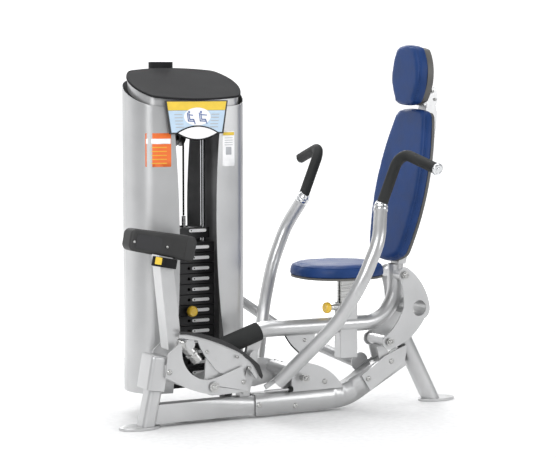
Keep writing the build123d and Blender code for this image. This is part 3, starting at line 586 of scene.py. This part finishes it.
def placard():
    """Instruction placard: dark backing, yellow band, pale field, two generic diagrams."""
    front = 0.1008

    def half(z):
        """Half width of a printed field: the placard widens upwards."""
        return 0.106 + (z - PLACARD_LOW) / (PLACARD_TOP - PLACARD_LOW) * 0.019

    def strip(name, low, high, material):
        shape = [(-half(low), low), (half(low), low), (half(high), high), (-half(high), high)]
        piece = plate_piece(name, shape, (PLACARD_X, 0.0), material, front - 0.0009, 0.0004)
        place(piece, "frame")

    backing = plate_piece("placard_backing",
                          [(-0.113, 1.094), (0.113, 1.094), (0.132, 1.221), (-0.132, 1.221)],
                          (PLACARD_X, 0.0), MATERIALS["placard_sheet"], front - 0.0002, 0.006)
    place(backing, "frame")
    strip("placard_band", 1.184, 1.217, YELLOW)
    strip("placard_field", PLACARD_LOW, 1.183, PALE_BLUE)
    for index, offset in enumerate((-0.078, 0.078)):
        for line in range(5):
            bar = plate_piece(f"placard_line_{index}_{line}", rounded(0.034, 0.003, 0.001, 2),
                              (PLACARD_X + offset * (1 - 0.02 * line), 1.168 - 0.012 * line),
                              PALE_GREY, front - 0.0013, 0.0002)
            place(bar, "frame")
    oval = plate_piece("placard_oval", ellipse(0.056, 0.034), (BADGE_X, 1.16), WHITE,
                       front - 0.0012, 0.0002)
    place(oval, "frame")
    for index, offset in enumerate((-0.036, 0.014)):
        diagram(index, BADGE_X + offset, 1.153, front - 0.0016)


def diagram(index, x, z, front):
    """Generic seated figure made of a few round-ended bars and a dot."""
    strokes = [((0.0, 0.018), (0.004, -0.004)), ((0.004, -0.004), (0.02, -0.004)),
               ((0.02, -0.004), (0.026, -0.02)), ((0.0, 0.014), (0.016 + 0.008 * index, 0.012)),
               ((-0.006, 0.02), (-0.002, -0.01)), ((-0.002, -0.01), (0.022, -0.011))]
    for number, (a, b) in enumerate(strokes):
        length = math.dist(a, b) + 0.004
        tilt = -math.atan2(b[1] - a[1], b[0] - a[0])
        middle = (x + (a[0] + b[0]) / 2, z + (a[1] + b[1]) / 2)
        bar = plate_piece(f"diagram_{index}_{number}", rounded(length, 0.004, 0.0019, 3),
                          middle, DEEP_BLUE, front, 0.0002, tilt)
        place(bar, "frame")
    head = plate_piece(f"diagram_{index}_head", ellipse(0.004, 0.0045, 20),
                       (x + 0.001, z + 0.024), DEEP_BLUE, front, 0.0002)
    place(head, "frame")


def lens(half_width, half_height, steps=24):
    """Two shallow arcs that meet in a point at each side."""
    upper = [(half_width * (1 - 2 * i / steps), half_height * (1 - (1 - 2 * i / steps) ** 2))
             for i in range(steps)]
    return upper + [(-x, -z) for x, z in upper]


def badge():
    """Blank white lens in a dark rim that hangs under the placard."""
    middle = (BADGE_X, 1.098)
    rim = plate_piece("badge_rim", lens(0.090, 0.028), middle, MATERIALS["charcoal_plastic"],
                      0.0975, 0.008)
    place(rim, "frame")
    face = plate_piece("badge_face", lens(0.081, 0.023), middle, WHITE, 0.0969, 0.0007)
    place(face, "frame")


def stickers():
    """Blank films on the shrouds, where the maker's notices would go."""
    tree = surface_tree("front_shrouds")
    under, over = 0.0004, 0.0009
    left, right = LEFT_NOTICE_X, RIGHT_NOTICE_X
    sticker("notice_left", rounded(0.094, 0.128, 0.003), (left, NOTICE_Z), tree, ORANGE, under)
    sticker("notice_left_strip", rounded(0.09, 0.020, 0.002), (left, 1.067), tree, WHITE, over)
    for line in range(5):
        sticker(f"notice_left_line_{line}", rounded(0.06, 0.0022, 0.001, 2),
                (left, 1.044 - 0.015 * line), tree, YELLOW, over)
    sticker("notice_right", rounded(0.056, 0.134, 0.003), (right, NOTICE_Z), tree, WHITE, under)
    sticker("notice_right_head", rounded(0.052, 0.012, 0.002), (right, 1.092), tree, YELLOW,
            over)
    sticker("notice_right_block", rounded(0.026, 0.03, 0.002), (right, 1.026), tree, PALE_GREY,
            over)
    for line in range(4):
        sticker(f"notice_right_line_{line}", rounded(0.038, 0.0025, 0.001, 2),
                (right, 1.076 - 0.009 * line), tree, PALE_GREY, over)


def knob_profile(radius, length):
    """Round hand knob with a rolled rim and a dished face."""
    return [(radius * 0.5, 0.0), (radius * 0.86, length * 0.12), (radius, length * 0.34),
            (radius, length * 0.62), (radius * 0.93, length * 0.86), (radius * 0.74, length),
            (radius * 0.42, length * 0.94), (radius * 0.16, length * 0.94)]


def knobs():
    """Yellow hand knobs with turned collars and bright shafts."""
    z = FIRST_PLATE_Z + PLATE_PITCH * RESTING    # height of the lowest lifted plate
    knob = turned("selector_knob", (TOWER.x, 0.183, z), (0, -1, 0), knob_profile(0.0215, 0.027),
                  MATERIALS["yellow_knob"])
    place(knob, "selector_pin")
    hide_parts("selector_pin")
    shaft = turned("selector_shaft", (TOWER.x, 0.257, z), (0, -1, 0),
                   [(0.0025, 0.0), (0.005, 0.004), (0.005, 0.059), (0.0095, 0.060),
                    (0.0095, 0.070), (0.007, 0.0745)], MATERIALS["bright_steel"])
    place(shaft, "selector_pin")
    grip = turned("seat_knob", (0.160, 0, SEAT_PIN_Z), (-1, 0, 0), knob_profile(0.0225, 0.026),
                  MATERIALS["yellow_knob"])
    place(grip, "seat_pin")
    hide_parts("seat_pin")
    stem = turned("seat_pin_stem", (0.209, 0, SEAT_PIN_Z), (-1, 0, 0),
                  [(0.004, 0.0), (0.006, 0.002), (0.006, 0.030), (0.0105, 0.031),
                   (0.0105, 0.048), (0.008, 0.050)], MATERIALS["bright_steel"])
    place(stem, "seat_pin")


# ---------------------------------------------------------------- counterweight
WEIGHT_TURN = Matrix.Translation((-0.572, 0, 0.690)) @ Matrix.Rotation(COVER_TILT, 4, "Y")


def counterweight_details():
    """Blank badge and two screws on the cover, and the yellow grip under it."""
    for name, x in (("cover_screw_left", -0.121), ("cover_screw_right", 0.014)):
        where = WEIGHT_TURN @ Vector((x, -0.0421, -0.006))
        bolt(name, "cam_lever", where, (0, -1, 0), head=0.005)
    badge_at = WEIGHT_TURN @ Vector((-0.062, -0.0425, -0.002))
    shape = rounded(0.104, 0.052, 0.012)
    plate = plate_piece("cover_badge", shape, (badge_at.x, badge_at.z), DARK_PRINT, -0.0432,
                        0.001, COVER_TILT)
    place(plate, "cam_lever")
    face = WEIGHT_TURN @ Vector((-0.024, -0.0700, -0.061))
    film = plate_piece("pin_grip_film", rounded(0.027, 0.027, 0.003), (face.x, face.z), YELLOW,
                       -0.0700, 0.0005, COVER_TILT)
    place(film, "cam_lever")


# ---------------------------------------------------------------- press arms
def grip_fittings():
    """Turned chrome collars at the arms' ends and domed caps on the grips."""
    arm_top, arm_below = Vector((0.206, 0.304, 0.818)), Vector((0.160, 0.368, 0.700))
    corner, tip = Vector((0.290, 0.306, 1.028)), Vector((0.316, 0.523, 0.971))
    first = None
    for side, word in ((-1, "left"), (1, "right")):
        flip = Vector((1, side, 1))
        rise = ((arm_top - arm_below) * flip).normalized()
        low = (arm_top * flip) - rise * 0.016
        collar = turned(f"{word}_collar", low, rise,
                        [(0.0258, 0.0), (0.0272, 0.003), (0.0272, 0.014), (0.0262, 0.016),
                         (0.0272, 0.018), (0.0266, 0.025), (0.0235, 0.031), (0.0225, 0.038)],
                        MATERIALS["chrome_rod"])
        place(collar, "press_arms")
        outward = ((tip - corner) * flip).normalized()
        end = tip * flip
        cap = turned(f"{word}_grip_cap", end - outward * 0.003, outward,
                     [(0.0215, 0.0), (0.0232, 0.0025), (0.0232, 0.006), (0.0218, 0.0085),
                      (0.0165, 0.0100), (0.0150, 0.0085), (0.0085, 0.0085), (0.0075, 0.0115),
                      (0.0030, 0.0122)], MATERIALS["chrome_rod"])
        place(cap, "press_arms")
        first = first or collar
    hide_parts("grip_rings")


# ---------------------------------------------------------------- frame details
BOLTS = [
    ("saddle_bolt", "frame", (-0.566, -0.070, 0.216), 0.0105),
    ("guard_bolt", "frame", (-0.257, -0.070, 0.155), 0.009),
    ("rail_bolt_1", "frame", (-0.170, -0.032, 0.052), 0.0105),
    ("rail_bolt_2", "frame", (-0.012, -0.032, 0.036), 0.0105),
    ("hub_bolt", "frame", (0.113, -0.044, 0.124), 0.0105),
    ("end_plate_bolt_1", "frame", (0.312, -0.042, 0.118), 0.0105),
    ("end_plate_bolt_2", "frame", (0.419, -0.042, 0.180), 0.0105),
    ("cam_bolt_1", "cam_lever", (-0.404, -0.058, 0.279), 0.0075),
    ("cam_bolt_2", "cam_lever", (-0.227, -0.058, 0.205), 0.0075),
    ("lever_bolt", "cam_lever", (-0.282, -0.066, 0.252), 0.006),
    ("lug_bolt", "carriage", (0.043, -0.006, 0.287), 0.0075),
]


def frame_bolts():
    """Bolt heads on the near side, and on the far side too where they hold the frame."""
    for name, body, (x, y, z), head in BOLTS:
        bolt(name, body, (x, y, z), (0, -1, 0), head)
        if body == "frame":
            bolt(name + "_far", body, (x, -y, z), (0, 1, 0), head)


SHAFT_CAPS = [
    ("cam_shaft_cap", "frame", (-0.382, 0.0762, 0.146), 0.020),
    ("hub_shaft_cap", "frame", (0.013, 0.0722, 0.147), 0.0155),
    ("link_low_cap", "frame", (0.388, 0.0842, 0.264), 0.016),
    ("link_top_cap", "carriage", (0.457, 0.0842, 0.527), 0.016),
]


def shaft_caps():
    """Washer and button head on both ends of each pivot shaft."""
    for name, body, where, washer in SHAFT_CAPS:
        for side, word in ((-1, "near"), (1, "far")):
            at = (where[0], side * where[1], where[2])
            bolt(f"{name}_{word}", body, at, (0, side, 0), 0.0105, washer)


def foot_bolts():
    """Bright washers round the anchor holes of both feet."""
    for name, x in (("front", -0.658), ("rear", 0.658)):
        for side in (-1, 1):
            ring = turned(f"{name}_foot_ring_{'low' if side < 0 else 'high'}",
                          (x + side * 0.058, 0, 0.0101), (0, 0, 1),
                          [(0.0105, 0.0), (0.0105, 0.0008), (0.0075, 0.0008)],
                          MATERIALS["bright_steel"])
            place(ring, "frame")


def stack_cord():
    """The cable above the stack, a fixed round bar on the frame that reaches up towards the pulley.
    """
    low, high = 0.7712, 1.098
    cord = turned("stack_cord", (TOWER.x, TOWER.y, low), (0, 0, 1),
                  [(0.004, 0.0), (0.004, high - low)], MATERIALS["black_rubber"], 24)
    place(cord, "frame")
    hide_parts("stack_cable")
    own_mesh(cord)


def lever_elbow():
    """Bright bent tube from the lever's foot down to the cam's hub."""
    line = [(-0.516, -0.020, 0.322), (-0.490, -0.022, 0.312), (-0.462, -0.024, 0.286),
            (-0.428, -0.026, 0.244)]
    elbow = tube("lever_elbow", line, 0.0225, MATERIALS["bright_steel"])
    place(elbow, "cam_lever")
    collar = turned("lever_collar", (-0.455, -0.0250, 0.277), (0.60, 0, -0.80),
                    [(0.0228, 0.0), (0.0262, 0.002), (0.0262, 0.010), (0.0228, 0.012)],
                    MATERIALS["bright_steel"])
    place(collar, "cam_lever")


def rail_stop():
    """Thin bar beside the rail with a rubber stop on its end."""
    bar = turned("stop_bar", (-0.150, -0.040, 0.105), (1, 0, 0),
                 [(0.005, 0.0), (0.005, 0.104)], MATERIALS["silver_paint"], 24)
    place(bar, "frame")
    stop = turned("stop_rubber", (-0.046, -0.040, 0.105), (1, 0, 0),
                  [(0.011, 0.0), (0.012, 0.002), (0.012, 0.014), (0.010, 0.016)],
                  MATERIALS["black_rubber"], 32)
    place(stop, "frame")


def lug_edging():
    """Black edging along the front of the carriage's lug."""
    line = [(-0.050, -0.0090, 0.318), (-0.034, -0.0090, 0.290), (-0.010, -0.0090, 0.262),
            (0.020, -0.0090, 0.236)]
    place(tube("lug_edging", line, 0.0028, MATERIALS["black_rubber"]), "carriage")


def head_plates():
    """Side plates with two screws each, where the head rest joins its blade."""
    shape = [(0.612, 1.262), (0.570, 1.211), (0.574, 1.196), (0.628, 1.196), (0.636, 1.208),
             (0.637, 1.233), (0.629, 1.266), (0.620, 1.272)]
    for side, word in ((-1, "near"), (1, "far")):
        front = -0.0285 if side < 0 else 0.0255
        plate = plate_piece(f"head_plate_{word}", shape, (0.0, 0.0), MATERIALS["silver_paint"],
                            front, 0.003)
        place(plate, "carriage")
        for index, (x, z) in enumerate(((0.611, 1.252), (0.624, 1.220))):
            bolt(f"head_screw_{word}_{index}", "carriage", (x, side * 0.0286, z),
                 (0, side, 0), head=0.0065)


# ---------------------------------------------------------------- setting
def backdrop():
    """Pale floor that sweeps up into a brighter wall."""
    pale = flat_print("studio_pale", (0.86, 0.86, 0.86), 0.85)
    bright = flat_print("studio_bright", (0.86, 0.86, 0.86), 0.85)
    shader = bright.node_tree.nodes["Principled BSDF"]
    shader.inputs["Emission Color"].default_value = (1, 1, 1, 1)
    shader.inputs["Emission Strength"].default_value = 0.6
    profile = [(-14.0, 0.0), (1.6, 0.0), (6.0, 0.0), (8.0, 0.25), (9.4, 1.0), (10.2, 2.4),
               (10.4, 5.0), (10.4, 9.0)]
    points = []
    for x in (-16.0, 16.0):
        points.extend((x, y, z - 0.0005) for y, z in profile)
    count = len(profile)
    faces = [(i, i + count, i + count + 1, i + 1) for i in range(count - 1)]
    sweep = mesh_piece("studio_sweep", points, faces, pale)
    sweep.data.materials.append(bright)
    for polygon in sweep.data.polygons:
        polygon.material_index = 1 if polygon.index > 0 else 0


def softbox(name, where, target, size, power):
    """Rectangular area light that is turned to a target."""
    light = bpy.data.lights.new(name, "AREA")
    light.shape = "RECTANGLE"
    light.size, light.size_y = size
    light.energy = power
    holder = bpy.data.objects.new(name, light)
    bpy.context.scene.collection.objects.link(holder)
    holder.location = where
    aim = Vector(target) - Vector(where)
    holder.rotation_euler = aim.to_track_quat("-Z", "Y").to_euler()


def lighting():
    """Pale sky, four soft lights and a plain view transform."""
    world = bpy.data.worlds.new("studio")
    bpy.context.scene.world = world
    world.use_nodes = True
    world.node_tree.nodes["Background"].inputs["Color"].default_value = (0.97, 0.98, 1.0, 1)
    world.node_tree.nodes["Background"].inputs["Strength"].default_value = 0.45
    softbox("key", (-4.2, -3.6, 3.4), (0, 0, 0.6), (3.0, 3.0), 205)
    softbox("fill", (3.6, -4.6, 2.2), (0, 0, 0.6), (2.6, 2.0), 80)
    softbox("top", (0.2, 0.6, 4.2), (0, 0, 0.4), (3.4, 3.0), 105)
    softbox("back", (1.5, 4.6, 3.0), (0, 0, 0.8), (2.6, 1.8), 90)
    bpy.context.scene.view_settings.view_transform = "Standard"
    bpy.context.scene.view_settings.look = "None"


def main_camera():
    """Long lens on the near side, towards the front, at the height of the head rest."""
    camera = bpy.data.cameras.new("camera")
    camera.sensor_width = 36.0
    camera.lens = 116.5
    camera.clip_end = 60.0
    holder = bpy.data.objects.new("camera", camera)
    bpy.context.scene.collection.objects.link(holder)
    holder.location = (-3.3185, -6.1015, 1.3157)
    holder.rotation_euler = (math.radians(90 - 4.878), 0, math.radians(-28.02))
    bpy.context.scene.camera = holder


backdrop()
lighting()
main_camera()
dress_cad()
shade_shroud_insides()
cushions()
stack_labels()
placard()
badge()
stickers()
knobs()
counterweight_details()
grip_fittings()
frame_bolts()
shaft_caps()
foot_bolts()
stack_cord()
lever_elbow()
rail_stop()
lug_edging()
head_plates()
